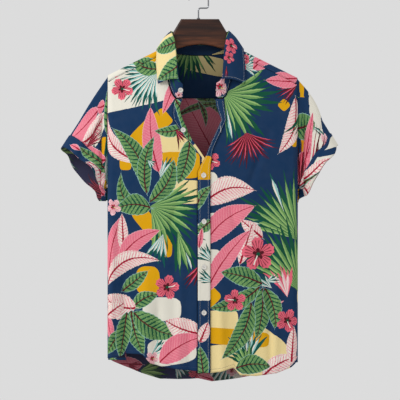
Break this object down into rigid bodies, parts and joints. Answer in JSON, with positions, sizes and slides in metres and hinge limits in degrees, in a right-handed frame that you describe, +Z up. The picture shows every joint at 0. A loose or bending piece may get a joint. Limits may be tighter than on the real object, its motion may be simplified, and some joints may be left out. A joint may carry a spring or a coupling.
{
  "type": "hawaiian shirt on wooden hanger",
  "caption": "Short-sleeved printed shirt with an open collar and buttoned front, hanging on a flat wooden hanger with a wire hook that goes over a rail.",
  "frame": {"origin": "inner top of the hook's arc, where it rests on the rail", "axes": "+Z up, -Y towards the shirt's front, +X towards the wearer's left"},
  "size_m": [0.612, 0.0923, 0.8745],
  "materials": {
    "printed_cloth": "matt woven, printed with palm leaves and flowers",
    "printed_cloth_collar": "matt woven, printed",
    "button_pearl": "pearly",
    "walnut": "dark satin",
    "chrome_wire": "polished"
  },
  "bodies": {
    "root": {"front_right": "printed_cloth", "front_left": "printed_cloth", "back": "printed_cloth", "yoke": "printed_cloth", "yoke_inner": "printed_cloth_collar", "button_band": "printed_cloth", "placket": "printed_cloth", "collar_stand": "printed_cloth_collar", "collar_leaf": "printed_cloth_collar", "sleeve_right": "printed_cloth", "cuff_right": "printed_cloth", "sleeve_left": "printed_cloth", "cuff_left": "printed_cloth", "button_neck": "button_pearl", "button_top": "button_pearl", "button_1": "button_pearl", "button_2": "button_pearl", "button_3": "button_pearl", "button_4": "button_pearl", "hanger_board": "walnut", "hook_ferrule": "chrome_wire", "hanger_hook": "chrome_wire"}
  },
  "joints": []
}
